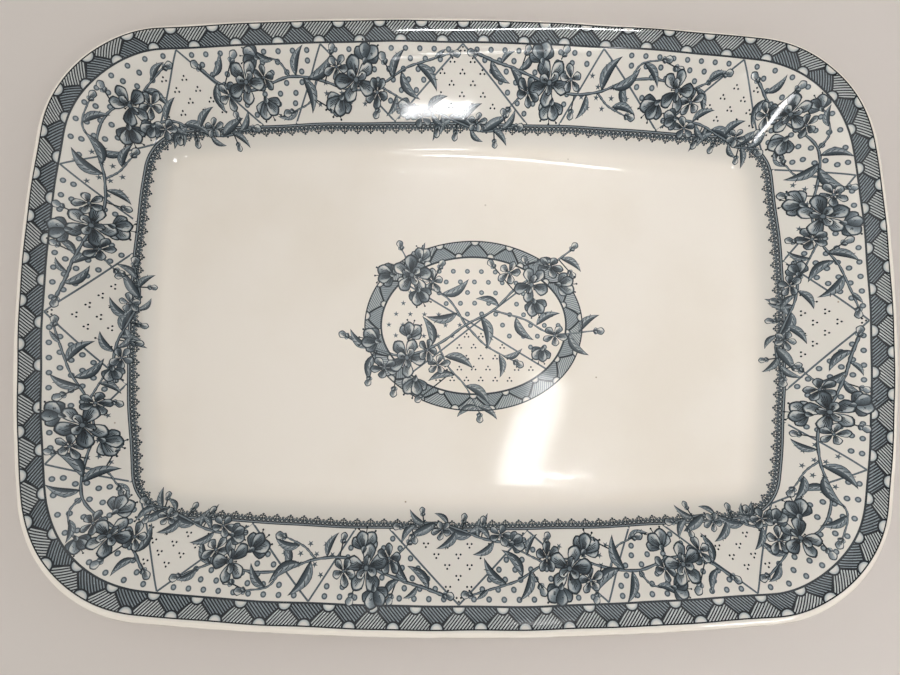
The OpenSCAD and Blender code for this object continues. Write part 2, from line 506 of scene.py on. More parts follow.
@drawn
def lace_unit(tissue, pitch):
    """One repeat of the lace along the lip: two lines, a scallop of loops, and a hanging fleurette."""
    for y, line_w, tone, lift in (
            (0.2, 0.5, 0.85, LINE_LIFT), (1.15, 0.45, 0.85, LINE_LIFT), (0.7, 0.9, 0.24, TINT_LIFT),
            (1.8, 0.7, 0.56, TINT_LIFT), (2.5, 0.7, 0.5, TINT_LIFT), (3.2, 0.7, 0.4, TINT_LIFT)):
        strip(tissue, (0, y), (pitch, y), line_w, tone, lift, 4)
    for i in range(3):
        x = pitch * (i + 0.5) / 3
        disc(tissue, x, 2.1, 0.85, [(1, 0.95), (0.62, 0.9), (0.5, 0.1)], LINE_LIFT + 0.01, 9)
    for i in range(5):
        turn = math.pi * (i + 0.5) / 5
        x = pitch / 2 - pitch * 0.42 * math.cos(turn)
        y = 2.7 + 1.35 * math.sin(turn)
        disc(tissue, x, y, 0.66, [(1, 0.98), (0.58, 0.9), (0.42, 0.22)], LINE_LIFT + 0.02, 8)
    strip(tissue, (0, 3.0), (0, 5.2), 0.45, 0.9, LINE_LIFT + 0.01, 2)
    for x, y in ((-0.85, 4.7), (0.85, 4.7), (0, 5.6)):
        disc(tissue, x, y, 0.58, [(1, 0.9), (0.5, 0.6)], LINE_LIFT + 0.02, 7)


@drawn
def discs_motif(tissue, places, radius, tones, segments):
    """Round patches of one kind."""
    for x, y in places:
        disc(tissue, x, y, radius, tones, 0, segments)


@drawn
def star_motif(tissue):
    """A small star with five points."""
    disc(tissue, 0, 0, 1.5, [(1, 0.5)], 0, 10)
    bmesh.ops.scale(tissue, vec=(0.38, 0.38, 1), verts=tissue.verts[:][1::2])


@drawn
def petal_motif(tissue, base_tone, tip_tone, lit):
    """A petal of length one along x, shaded from its base to its tip, with engraved veins.

    lit is the side that catches the light: the other one lies in shade.
    """
    disc(tissue, 0, 0, 1, [(1, 0), (0.93, 0), (0.76, 0), (0.42, 0)], 0, 16)
    layer = ink_of(tissue)
    for vert in tissue.verts:
        x, y = vert.co.x, vert.co.y
        base = (1 - x) / 2
        shade = tip_tone + (base_tone - tip_tone) * base**0.8 - 0.26 * lit * y
        if math.hypot(x, y) > 0.9:
            shade = 0.96
        elif lit * y > 0.25 and base < 0.6:
            shade *= 0.45
        vert[layer] = min(0.98, max(0.03, shade))
        vert.co.x = 0.5 + 0.5 * x + 0.02 * math.cos(5 * math.atan2(y, x))
        vert.co.y = 0.41 * y * (0.36 + 0.64 * min(1, 1.35 * vert.co.x))
    for i in (-2, -1, 0, 1, 2):
        reach = 0.8 - 0.07 * abs(i) - 0.16 * (lit * i > 0)
        strip(tissue, (0.12, 0.025 * i), (reach, 0.12 * i * reach), 0.035, 0.96, 0.003, 1)


@drawn
def leaf_motif(tissue, bend):
    """A lance leaf of length one along x, dark on one side of its rib and paler on the other."""
    sides = (-1, -0.55, -0.09, 0.07, 0.5, 0.84, 1)
    tones = (0.98, 0.66, 0.52, 0.12, 0.3, 0.36, 0.96)
    bmesh.ops.create_grid(tissue, x_segments=8, y_segments=6, size=1)
    layer = ink_of(tissue)
    for vert in tissue.verts:
        run = (vert.co.x + 1) / 2
        side = round((vert.co.y + 1) * 3)
        half_w = 0.15 * math.sin(math.pi * run**0.85) ** 0.9
        vert.co.x = run
        vert.co.y = sides[side] * half_w + bend * run * (1 - run) - bend * 0.3 * run**2
        vert[layer] = max(tones[side], 0.95 if run < 0.05 or run > 0.97 else 0)
    bmesh.ops.remove_doubles(tissue, verts=tissue.verts, dist=1e-4)
    for i in range(4):
        start = 0.16 + 0.17 * i
        foot = bend * start * (1 - start) - bend * 0.3 * start**2
        strip(tissue, (start, foot + 0.01), (start + 0.13, foot + 0.08), 0.022, 0.85, 0.003, 1)


@drawn
def tuft_motif(tissue):
    """Stamens: thin threads with dark heads."""
    disc(tissue, 0, 0, 0.15, [(1, 0.95), (0.6, 0.35)], 0, 9)
    for i in range(7):
        turn = 2 * math.pi * i / 7
        reach = 0.34 + 0.07 * (i % 3)
        strip(tissue, polar(0.1, turn), polar(reach, turn), 0.035, 0.9, 0.005, 1)
        disc(tissue, *polar(reach, turn), 0.055, [(1, 0.98)], 0.01, 6)


# Petals are dusky, grey, pale or shaded, and leaves are plain, curled or turned
PETALS = [petal_motif(0.66, 0.26, 1), petal_motif(0.46, 0.14, -1),
          petal_motif(0.34, 0.08, 1), petal_motif(0.56, 0.2, -1)]
LEAVES = [leaf_motif(0.1), leaf_motif(0.5), leaf_motif(-0.5)]
TUFT = tuft_motif()
RING = discs_motif([(0, 0)], 1.3, [(1, 0.44), (0.6, 0.52), (0.44, 0.2)], 12)
DOTS = discs_motif([(-0.95, -0.5), (0.95, -0.5), (0, 1.0)], 0.48, [(1, 0.95)], 7)
STAR = star_motif()


@drawn
def open_blossom(tissue, name, outer, inner, share):
    """A ring of petals round a tuft, of radius one, with smaller ones inside it, seen from a side."""
    chance = random.Random(name)
    for i, petal in enumerate(outer):
        turn = 2 * math.pi * i / len(outer) + chance.uniform(-0.12, 0.12)
        size = chance.uniform(0.84, 0.98)
        stamp(tissue, PETALS[petal], *polar(0.1, turn), turn, size, 0.007 * (i * 2 % len(outer)))
    for i, petal in enumerate(inner):
        turn = 2 * math.pi * (i + 0.5) / len(inner) + chance.uniform(-0.2, 0.2)
        stamp(tissue, PETALS[petal], 0, 0, turn, chance.uniform(0.5, 0.62), 0.042 + 0.007 * i)
    stamp(tissue, TUFT, 0, 0, 0.4, 0.9, 0.066)
    bmesh.ops.scale(tissue, vec=(share, 1, 1), verts=tissue.verts)


@drawn
def side_blossom(tissue, petals):
    """A half-open blossom along x: a calyx, a fan of petals and short stamens."""
    for turn in (-0.42, 0.05, 0.46):
        end = polar(1.06, turn)
        strip(tissue, (0.5, 0), end, 0.05, 0.85, 0, 3)
        disc(tissue, *end, 0.06, [(1, 0.95)], 0, 6)
    fan = ((-0.95, 0.8, 0.01), (0.95, 0.84, 0.02), (-0.42, 1.0, 0.03), (0.34, 0.94, 0.04))
    for petal, (turn, size, lift) in zip(petals, fan):
        stamp(tissue, PETALS[petal], 0, 0, turn, size, lift)
    stamp(tissue, PETALS[0], -0.22, 0, 0, 0.42, 0.06)


@drawn
def bud_motif(tissue):
    """A round bud on a calyx, along x, of length one."""
    stamp(tissue, PETALS[2], 0.05, 0, 0, 0.95, 0)
    stamp(tissue, PETALS[0], -0.05, 0, 0.5, 0.46, 0.02)
    stamp(tissue, PETALS[0], -0.05, 0, -0.5, 0.46, 0.03)


BLOSSOMS = [open_blossom("full_blossom", (1, 2, 3, 0, 2), (2, 1, 3), 0.9),
            open_blossom("dark_blossom", (0, 3, 0, 1, 0), (), 0.8),
            open_blossom("pale_blossom", (2, 1, 2, 3, 1), (), 0.82),
            side_blossom((0, 3, 1, 0)),
            side_blossom((3, 1, 2, 1)),
            open_blossom("shaded_blossom", (3, 1, 2, 0, 1), (1, 0), 0.84)]
FROM_THE_SIDE = (3, 4)
BUD = bud_motif()


# Sprays: a stem is dark along its sides, with a pale core
STEM_TONES = (0.98, 0.66, 0.26, 0.34, 0.96)


def flowing(points, steps):
    """Places on a smooth curve through points."""
    points = np.asarray(points, float)
    ends = np.vstack([2 * points[0] - points[1], points, 2 * points[-1] - points[-2]])
    runs = np.linspace(0, len(points) - 1, steps + 1)
    first = np.minimum(runs.astype(int), len(points) - 2)
    t = (runs - first)[:, None]
    a, b, c, d = (ends[first + i] for i in range(4))
    return 0.5 * (2 * b + (c - a) * t + (2 * a - 5 * b + 4 * c - d) * t**2 + (3 * b - a - 3 * c + d) * t**3)


class Field:
    """A place where sprays are drawn: it turns local places into plan, and keeps what they cover."""

    def __init__(self, tissue, to_plan, lift=0):
        self.tissue = tissue
        self.to_plan = to_plan
        self.lift = lift
        self.laid = 0
        self.covered = []
        self.branches = []

    def at(self, u, v):
        """A local place in plan."""
        x, y = self.to_plan(np.array([u], float), np.array([v], float))
        return float(x[0]), float(y[0])

    def pose(self, u, v, heading):
        """A local place in plan, and the turn there of a heading in degrees from u towards v."""
        x, y = self.at(u, v)
        next_x, next_y = self.at(*polar(0.2, math.radians(heading), u, v))
        return x, y, math.atan2(next_y - y, next_x - x)

    def cover(self, x, y, turn, reach, radius):
        """Keeps the ground off a patch that lies a reach away from a place."""
        self.covered.append((*polar(reach, turn, x, y), radius))

    def layer(self, lift):
        """A height of its own for each shape."""
        self.laid += 1
        return self.lift + lift + LAYER_SPREAD * (GOLDEN_SHARE * self.laid % 1)

    def stem(self, points, width=1.1, end_w=0.7):
        """A winding stem through local places."""
        height = self.layer(STEM_LIFT)
        places = np.array([self.at(u, v) for u, v in flowing(points, 6 * len(points))])
        ahead = np.gradient(places, axis=0)
        aside = np.column_stack([-ahead[:, 1], ahead[:, 0]]) / np.hypot(*ahead.T)[:, None]
        sheet = new_tissue()
        count = len(places) - 1
        bmesh.ops.create_grid(sheet, x_segments=count, y_segments=4, size=1)
        layer = ink_of(sheet)
        for vert in sheet.verts:
            i = round((vert.co.x + 1) / 2 * count)
            half_w = (width + (end_w - width) * i / count) * (0.5 + 0.1 * math.sin(2.1 * i))
            spot = places[i] + aside[i] * half_w * vert.co.y
            vert[layer] = STEM_TONES[round(2 * vert.co.y) + 2]
            vert.co = (*spot, height)
        add(self.tissue, mesh_of(sheet))
        self.covered += [(x, y, 0.5) for x, y in places]
        self.branches += [(x, y) for x, y in places]

    def leaf(self, u, v, heading, length, kind):
        """A leaf that springs from a local place."""
        x, y, turn = self.pose(u, v, heading)
        stamp(self.tissue, LEAVES[kind], x, y, turn, length, self.layer(LEAF_LIFT))
        for share in (0.2, 0.4, 0.6, 0.8, 1.0):
            self.cover(x, y, turn, length * share, 0.9)

    def blossom(self, u, v, heading, radius, kind, over=0):
        """A blossom at a local place, over others where they meet."""
        x, y, turn = self.pose(u, v, heading)
        stamp(self.tissue, BLOSSOMS[kind], x, y, turn, radius, self.layer(BLOSSOM_LIFT + OVER_LIFT * over))
        self.cover(x, y, turn, 0.5 * radius if kind in FROM_THE_SIDE else 0, 0.66 * radius)

    def bud(self, u, v, heading, size):
        """A bud at a local place, on a stalk from the nearest branch."""
        x, y, turn = self.pose(u, v, heading)
        root = min(self.branches, key=lambda spot: math.dist(spot, (x, y)))
        if math.dist(root, (x, y)) > 1.2:
            strip(self.tissue, root, (x, y), 0.6, 0.92, self.layer(STEM_LIFT), 2)
            turn = math.atan2(y - root[1], x - root[0])
        stamp(self.tissue, BUD, x, y, turn, size, self.layer(BLOSSOM_LIFT))
        self.cover(x, y, turn, 0.5 * size, 0.4 * size)


def each(draw, *entries):
    """Draws a shape for each entry: its local place, its heading, its size, and what else it takes."""
    for entry in entries:
        draw(*entry)


def long_spray(field):
    """A branch along the rim with a full cluster right of its middle, and a smaller one on its left."""
    field.stem([(-55, 8), (-48, 14), (-40, 17), (-30, 16), (-16, 12), (-2, 14), (12, 18), (26, 16),
                (38, 10), (48, 7), (58, 4)], 1.5, 1.0)
    field.stem([(-16, 12), (-20, 6), (-29, 4)])
    field.stem([(24, 16), (32, 20), (40, 24)])
    field.stem([(-4, 14), (-8, 22), (-16, 25.5)])
    each(field.leaf, (-51, 11, -50, 11, 2), (-49, 13, 95, 13, 2), (-22, 5.5, -160, 10, 1),
         (-13, 12, -75, 13, 1), (-8, 13, -28, 16, 2), (-10, 12.5, 72, 15, 1), (-14, 25, 160, 10, 1),
         (32, 14, -70, 13, 1), (36, 11, 62, 14, 2), (33, 20, 115, 10, 1), (43, 8.5, 40, 14, 1),
         (51, 6.5, -40, 7, 0))
    each(field.bud, (-55, 8, 220, 5.4), (-41, 6, 240, 5.6), (29, 8.5, -30, 5.6), (-16, 25.5, 170, 5.2),
         (58, 4, 0, 5.2), (1, 25, 120, 5.4), (40, 24, 40, 5.2), (24, 25, 60, 4.8), (4, 4, 250, 4.8))
    each(field.blossom, (-29, 4.5, 190, 7.0, 3), (-28.5, 20.5, 75, 8.4, 4), (-45, 18.5, 150, 6.6, 2),
         (-27.5, 12, -20, 5.8, 1, 1), (-36, 13.5, 10, 9.2, 0, 2), (7, 20.5, 125, 8.8, 4),
         (19.5, 7, -65, 8.4, 3), (6, 9, -130, 6.4, 2), (24, 19, 20, 6.8, 1, 1),
         (14.5, 14, 40, 10.2, 0, 2))


def short_spray(field):
    """A branch that climbs from the lace to the band, with its full cluster left of its middle."""
    field.stem([(-57, 4), (-48, 7), (-40, 9), (-28, 13), (-14, 18), (0, 17), (14, 12), (28, 11),
                (40, 14), (49, 11), (56, 7)], 1.5, 1.0)
    field.stem([(0, 17), (6, 22), (15, 25.5)])
    field.stem([(14, 12), (18, 5.5), (27, 3.4)])
    field.stem([(-30, 13), (-37, 20), (-41, 24)])
    each(field.leaf, (-51, 6, 52, 13, 2), (-46, 7.5, -48, 8, 1), (-42, 8.5, 55, 12, 1),
         (-38, 9.5, -42, 11, 2), (-5, 18, 100, 11, 1), (2, 16.5, -72, 16, 1), (6, 15, -25, 15, 2),
         (8, 22.5, 5, 12, 1), (12, 12.5, 78, 12, 2), (19, 5, 40, 12, 1), (45, 12.5, 50, 12, 1),
         (50, 10.5, -40, 10, 1))
    each(field.bud, (-57, 4, 190, 5.2), (-18, 4, 260, 5.4), (15, 25.5, 10, 5.2), (27, 3.4, -10, 5.2),
         (56, 7, -20, 5.2), (33, 5.5, 250, 5.4), (-41, 24, 120, 5.2), (-35, 4, 250, 4.8),
         (-11, 24, 60, 4.8))
    each(field.blossom, (-27, 6, -105, 8.4, 3), (-21, 21.5, 95, 8.6, 4), (-33, 18, 160, 6.8, 1),
         (-13, 12.5, -30, 6.4, 2, 1), (-23, 14, 20, 10.2, 0, 2), (29, 19.5, 135, 8.4, 3),
         (44.5, 18.5, 40, 6.6, 2), (36.5, 14.5, 0, 9.4, 5, 2))


def hanging_sprig(field):
    """A sprig that lies along the lace and hangs into the well."""
    field.stem([(-27, 25), (-15, 27), (-4, 31), (8, 33.5), (22, 31.5)], 1.3, 0.8)
    each(field.leaf, (-20, 26, -38, 11, 1), (-18, 26.5, 48, 9, 2), (-10, 28.5, 12, 13, 1),
         (-8, 29.5, 150, 12, 2), (-3, 31, -50, 12, 1), (1, 32.5, 45, 8, 2), (7, 33.5, -28, 13, 0),
         (12, 33, 30, 9, 1), (16, 32.5, -45, 10, 2), (-13, 27.5, 100, 9, 1))
    each(field.blossom, (-28, 25, 170, 6.4, 3), (-23, 28.5, 110, 5.6, 1), (4, 30.5, 60, 4.8, 2))
    each(field.bud, (22, 31.5, 0, 4.8), (17, 28.5, -40, 4.4), (-6, 33, 140, 4.4), (-15, 31.5, 130, 4.6),
         (13, 36, 40, 4.0))


# Grounds: rows of small motifs between straight lines, which reach a little under the sprays
UNDER_SPRAYS = 0.4


def free_spots(spots, covered, lines, margin):
    """Which spots lie clear of what the sprays cover, and of straight lines."""
    covered = np.array(covered)
    gaps = np.hypot(spots[:, None, 0] - covered[None, :, 0], spots[:, None, 1] - covered[None, :, 1])
    free = (gaps > covered[None, :, 2] - UNDER_SPRAYS).all(axis=1)
    for start, end in lines:
        start, along = np.array(start), np.subtract(end, start)
        share = np.clip((spots[:, :2] - start) @ along / (along @ along), 0, 1)
        free &= np.linalg.norm(spots[:, :2] - start - share[:, None] * along, axis=1) > margin
    return free


def bend_along(mesh, place, start_inset, shift=0):
    """Bends a flat band round a course: x runs along it and y down the surface from an inset."""
    x, y, z = spots_of(mesh)
    across, ahead = place(x, inset_after(start_inset, y))
    move_spots(mesh, across, ahead + shift, z)


@drawn
def repeated(tissue, length, about, make_unit):
    """A flat band of a length, made of equal units that are about so long."""
    count = round(length / about)
    pitch = length / count
    unit = make_unit(pitch)
    for i in range(count):
        stamp(tissue, unit, i * pitch, 0)


def edge_band():
    """The hatched band along the brow."""
    length, place = rim_course(BAND_INSET + BAND_W / 2)
    band = repeated(length, BAND_PITCH, lambda pitch: band_unit(
        pitch, BAND_W, bead_r=3.3, gap=1.15, tints=(0.09, 0.25), tone=1.0))
    bend_along(band, place, BAND_INSET, BAND_SHIFT)
    return band


# The rim has repeats, each with a triangle of dots and a lopsided one of stars, and rings between them
REPEATS = 8
RIM_LENGTH, rim_place = rim_course(GROUND_INSET + GROUND_W / 2)
REPEAT_L = RIM_LENGTH / REPEATS
DOTS_REACH = 32
STARS_REACH = 16
STARS_LONG_REACH = REPEAT_L / 2 - DOTS_REACH
# The dividing lines of a repeat: where each starts at the band, and its reach along the rim up to the lace
LEGS = ((0, DOTS_REACH), (0, -DOTS_REACH), (REPEAT_L / 2, -STARS_REACH), (REPEAT_L / 2, STARS_LONG_REACH))
LEG_W = 0.8
LEG_TONE = 0.46
# Each motif, with its pitch along a row and the gap between its rows
ROWS = ((RING, 7.0, 4.0), (DOTS, 9.6, 4.4), (STAR, 6.8, 4.2))
# Depth of the first row, and the room left out when the rows are counted
FIRST_ROW = 2.3
LAST_ROW_GAP = 1.6
# Place of a hanging sprig in each repeat
SPRIG_SHARE = 0.03


def rim_field(tissue, middle, lift=0):
    """A field on the rim whose u runs along it from a length, and whose v runs inwards from the band."""
    def to_plan(u, v):
        x, y = rim_place(middle + u, GROUND_INSET + v)
        return x, y + BAND_SHIFT * (1 - v / GROUND_W)

    return Field(tissue, to_plan, lift)


def panel_motif(step, v):
    """The motif of the ground at a place of a repeat."""
    depth = v / GROUND_W
    if min(step, REPEAT_L - step) < DOTS_REACH * depth:
        return DOTS
    if -STARS_REACH * depth < step - REPEAT_L / 2 < STARS_LONG_REACH * depth:
        return STAR
    return RING


def border_ground(tissue, covered):
    """Rings, dots and stars in rows, in panels between straight lines."""
    field = rim_field(tissue, 0)
    lines = [(field.at(i * REPEAT_L + start, 0), field.at(i * REPEAT_L + start + reach, GROUND_W))
             for i in range(REPEATS) for start, reach in LEGS]
    for ends in lines:
        strip(tissue, *ends, LEG_W, LEG_TONE, LINE_LIFT, 16)
    for motif, pitch, row_gap in ROWS:
        spots = []
        for row in range(int((GROUND_W - LAST_ROW_GAP) / row_gap)):
            v = FIRST_ROW + row * row_gap
            count = REPEATS * round(rim_course(GROUND_INSET + v)[0] / pitch / REPEATS)
            for i in range(count):
                run = (i + 0.5 * (row % 2)) / count * RIM_LENGTH
                if panel_motif(run % REPEAT_L, v) is motif:
                    spots.append((*field.at(run, v), run, v))
        spots = np.array(spots)
        for _, _, run, v in spots[free_spots(spots, covered, lines, margin=1.5)]:
            stamp(tissue, motif, *field.pose(run, v, 0), 1, LINE_LIFT)


@drawn
def border_print(tissue):
    """Sprays over the ground of the rim."""
    covered = []
    for i in range(REPEATS):
        field = rim_field(tissue, (i + 0.5) * REPEAT_L)
        (long_spray if i % 2 else short_spray)(field)
        covered += field.covered
    border_ground(tissue, covered)


@drawn
def well_edging(tissue):
    """Lace along the lip of the well, with sprigs over it."""
    length, place = rim_course(LACE_COURSE)
    lace = repeated(length, LACE_PITCH, lace_unit)
    bend_along(lace, place, LACE_INSET)
    add(tissue, lace)
    for i in range(REPEATS):
        hanging_sprig(rim_field(tissue, (i + SPRIG_SHARE) * REPEAT_L, SPRIG_LIFT))


def medallion_sprays(field):
    """A branch that winds across the oval, with side shoots that run over its band."""
    field.stem([(-60, 6), (-47, 12), (-33, 15), (-17, 9), (-4, 0), (9, -7), (20, -18), (34, -27),
                (47, -37)], 1.5, 1.0)
    field.stem([(-17, 9), (-12, 20), (-4, 29), (3, 42)])
    field.stem([(9, -7), (24, -3), (38, 4), (58, 2)])
    field.stem([(-4, 0), (-13, -13), (-26, -21), (-35, -36)])
    field.stem([(-4, 0), (6, 10), (19, 17)])
    each(field.leaf, (-50, 11, 215, 13, 1), (-47, 14, 112, 14, 2), (-20, 10, -100, 15, 2),
         (-14, 15, 15, 15, 1), (-9, 24, 175, 13, 2), (-4, 29, 30, 15, 1), (2, 39, 160, 11, 2),
         (2, 39, 25, 11, 1), (-8, -6, 165, 15, 1), (-16, -15, -20, 15, 2), (-29, -27, 185, 13, 1),
         (-32, -31, -40, 12, 2), (3, -4, 70, 16, 1), (12, -9, 205, 12, 2), (20, -4, 60, 14, 2),
         (30, 0, -35, 13, 1), (46, 3.5, 55, 14, 2), (51, 3, -50, 13, 1), (40, -31, 180, 12, 2),
         (42, -33, 25, 12, 1), (12, 14, 80, 11, 1), (14, 15, -15, 10, 2))
    each(field.bud, (-60, 6, 200, 5.4), (3, 42, 90, 5.0), (58, 2, 0, 5.4), (-35, -36, 250, 5.0),
         (47, -37, -50, 5.0), (-38, 30, 120, 5.4), (-50, 25, 160, 5.0), (19, 17, 30, 5.4),
         (46, -27, -35, 5.0), (-17, -27, -50, 5.2), (10, -28, 190, 5.2), (-24, 34, 70, 5.0),
         (26, -30, -110, 5.0))
    each(field.blossom, (-46, 8, 195, 8.8, 3), (-28, 26, 100, 9.0, 4), (-31, 6, -70, 8.0, 4),
         (-17, 19, 60, 6.0, 2), (-43, 21, 100, 6.8, 1, 1), (-22, 12, 0, 6.0, 1, 1),
         (-32, 16, 10, 9.8, 0, 2), (41, -20, 0, 8.4, 4), (17, -26, 215, 6.6, 2, 1),
         (37, -29, -60, 6.6, 1, 1), (29, -12, 75, 8.0, 3), (28, -20, 30, 9.8, 5, 2),
         (-39, -24, 180, 8.2, 3), (-20, -21, -20, 6.4, 2), (-26, -31, -80, 7.0, 4),
         (-27, -17, 70, 8.0, 3), (-30, -24, 130, 9.8, 0, 1), (39, 5, 80, 6.4, 2, 1),
         (33, 11, 110, 7.0, 3))


# The oval's dividing lines, in degrees, and the panels between them
SPOKES = (38, 149, 218, 329)
PANELS = (RING, RING, STAR, DOTS)
OVAL_PITCH = 6.8
OVAL_ROW_GAP = 5.2
OVAL_MARGIN = 2


def medallion_ground(tissue, covered):
    """Rings, dots and stars in four panels of the oval."""
    half_l, half_w = (half - MEDALLION_BAND_W for half in MEDALLION_HALF)
    middle_x, middle_y = MEDALLION_CENTRE
    spokes = [math.radians(angle) for angle in SPOKES]
    lines = []
    for spoke in spokes:
        reach = 1 / math.hypot(math.cos(spoke) / half_l, math.sin(spoke) / half_w)
        lines.append((MEDALLION_CENTRE, polar(reach, spoke, *MEDALLION_CENTRE)))
        strip(tissue, *lines[-1], LEG_W, LEG_TONE, LINE_LIFT, 8)
    spots, motifs = [], []
    for row in range(-6, 7):
        for column in range(-7, 8):
            x = OVAL_PITCH * (column + 0.5 * (row % 2))
            y = OVAL_ROW_GAP * row
            if (x / (half_l - OVAL_MARGIN)) ** 2 + (y / (half_w - OVAL_MARGIN)) ** 2 > 1:
                continue
            turn = math.atan2(y, x) % (2 * math.pi)
            spots.append((x + middle_x, y + middle_y))
            motifs.append(PANELS[sum(turn > spoke for spoke in spokes) % 4])
    for spot, motif, free in zip(spots, motifs, free_spots(np.array(spots), covered, lines, margin=1.9)):
        if free:
            stamp(tissue, motif, *spot, 0, 0.95, LINE_LIFT)


@drawn
def centre_medallion(tissue):
    """The oval in the middle of the floor."""
    length, place = oval_course(*MEDALLION_HALF)
    band = repeated(length, MEDALLION_PITCH, lambda pitch: band_unit(
        pitch, MEDALLION_BAND_W, bead_r=2.3, gap=1.0, tints=(0.15, 0.22), tone=0.4))
    x, y, z = spots_of(band)
    around, ahead = place(x, y)
    middle_x, middle_y = MEDALLION_CENTRE
    move_spots(band, around + middle_x, ahead + middle_y, z)
    add(tissue, band)
    field = Field(tissue, lambda u, v: (middle_x + u, middle_y - v))
    medallion_sprays(field)
    medallion_ground(tissue, field.covered)


# A tissue is laid by hand, so its lines stray a little
DRIFT = 0.2


def fired(flat, name, node, material):
    """Lays a flat print on the glazed surface, with the surface's own normals, and makes its piece."""
    bm = bmesh.new()
    bm.from_mesh(flat)
    bm.normal_update()
    bmesh.ops.reverse_faces(bm, faces=[face for face in bm.faces if face.normal.z < 0])
    bm.to_mesh(flat)
    bm.free()
    x, y, lift = spots_of(flat)
    drift_x = DRIFT * np.sin(x / 13 + 1.3 * np.sin(y / 17)) + DRIFT / 2 * np.sin(y / 5.3)
    drift_y = DRIFT * np.sin(y / 12 + 1.7 * np.sin(x / 19)) + DRIFT / 2 * np.sin(x / 6.1)
    x, y = x + drift_x, y + drift_y
    step = 0.02
    slope_x = (height_at(x + step, y) - height_at(x - step, y)) / (2 * step)
    slope_y = (height_at(x, y + step) - height_at(x, y - step)) / (2 * step)
    normals = np.column_stack([-slope_x, -slope_y, np.ones_like(x)])
    normals /= np.linalg.norm(normals, axis=1)[:, None]
    spots = np.column_stack([x, y, height_at(x, y)]) + normals * lift[:, None]
    move_spots(flat, *(spots * MM).T)
    flat.name = name
    note_inset(flat, inset_at(x, y))
    flat.shade_smooth()
    flat.normals_split_custom_set_from_vertices(normals)
    piece(flat, name, node, material)


# Finishes
def linear(red, green, blue):
    """A colour that is written as it looks, in shader values."""
    return [((c + 0.055) / 1.055) ** 2.4 if c > 0.04045 else c / 12.92
            for c in (red / 255, green / 255, blue / 255)]


CREAM = linear(236, 228, 216)
WARM_CREAM = linear(231, 222, 208)
# A cooler, darker white for the rim: partly a haze of the print, partly painted shade of the sloping rim
COOL_AND_SHADED_WHITE = linear(216, 212, 204)
SPECK = linear(140, 118, 92)
CLAY = linear(205, 186, 158)
INK = linear(19, 26, 31)
# Brown-grey for the outer edge: partly worn clay, partly painted shade on the edge
WORN_AND_SHADED_EDGE = linear(150, 126, 104)


class Finish:
    """A material, or a world, whose nodes are added one by one."""

    def __init__(self, owner, shader="Principled BSDF"):
        self.owner = owner
        owner.use_nodes = True
        self.tree = owner.node_tree
        self.shader = self.tree.nodes[shader]
        self.coordinates = self.node("TexCoord").outputs
        self.places = self.coordinates["Object"]

    def fill(self, node, inputs):
        """Links the inputs of a node, or sets those whose values are plain."""
        for name, value in inputs.items():
            socket = node.inputs[name]
            if isinstance(value, bpy.types.NodeSocket):
                self.tree.links.new(value, socket)
            elif isinstance(value, list):
                socket.default_value = (*value, 1)
            else:
                socket.default_value = value

    def node(self, kind, inputs=None, **settings):
        made = self.tree.nodes.new("ShaderNode" + kind)
        for key, value in settings.items():
            setattr(made, key, value)
        self.fill(made, inputs or {})
        return made

    def noise(self, scale, detail=2.0):
        inputs = {"Vector": self.places, "Scale": scale, "Detail": detail}
        return self.node("TexNoise", inputs).outputs["Fac"]

    def ranged(self, value, low, high, to_low=0.0, to_high=1.0):
        inputs = {"Value": value, "From Min": low, "From Max": high, "To Min": to_low, "To Max": to_high}
        return self.node("MapRange", inputs, interpolation_type="SMOOTHSTEP").outputs["Result"]

    def maths(self, operation, first, second):
        return self.node("Math", {0: first, 1: second}, operation=operation).outputs[0]

    def mixed(self, share, first, second, blend="MIX"):
        inputs = {"Factor": share, "A": first, "B": second}
        return self.node("Mix", inputs, data_type="RGBA", blend_type=blend).outputs["Result"]

    def attribute(self, name):
        return self.node("Attribute", attribute_name=name).outputs["Fac"]


def glaze_tone(finish):
    """Colour of the glazed clay: cream, clouded and specked; cooler and darker on the rim, partly a haze of
    the print and partly painted shade of the sloping rim; brown-grey at the outer edge, partly wear and
    partly painted shade.
    """
    clouds = finish.ranged(finish.noise(14, 4), 0.42, 0.72)
    tone = finish.mixed(clouds, CREAM, WARM_CREAM)
    inset = finish.attribute("inset")
    # The rim and lip take the cooler, darker white: partly a haze of the print, partly painted shade
    haze_and_shade = finish.ranged(inset, 56, 48, 0, 0.75)
    tone = finish.mixed(haze_and_shade, tone, COOL_AND_SHADED_WHITE)
    tone = finish.mixed(finish.ranged(inset, 3.6, 2.4), tone, CREAM)
    # Browner and darker towards the outer edge, broken by noise: partly wear, partly painted shade
    rub_and_shade = finish.maths("ADD", inset, finish.ranged(finish.noise(60, 4), 0.35, 0.7, -0.5, 0.5))
    tone = finish.mixed(finish.ranged(rub_and_shade, 0.4, -0.1, 0, 0.5), tone, WORN_AND_SHADED_EDGE)
    flecks = finish.node("TexVoronoi", {"Vector": finish.places, "Scale": 85}).outputs
    chosen = finish.ranged(flecks["Color"], 0.74, 0.78)
    size = finish.ranged(flecks["Distance"], 0.055, 0.02)
    return finish.mixed(finish.maths("MULTIPLY", chosen, size), tone, SPECK)


def glazed(finish, tone):
    """A colour under the glassy coat: a mirror-like skin that is slightly uneven."""
    sheen = finish.ranged(finish.noise(120), 0.3, 0.7, 0.03, 0.07)
    swell = finish.node("Bump", {"Strength": 1.0, "Distance": 0.00014, "Height": finish.noise(30)})
    finish.fill(finish.shader, {"Base Color": tone, "Roughness": sheen, "IOR": 1.46,
                                "Normal": swell.outputs["Normal"]})
    return finish.owner


def cream_glaze():
    """The clear glaze on the dish."""
    finish = Finish(bpy.data.materials.new("cream_glaze"))
    return glazed(finish, glaze_tone(finish))


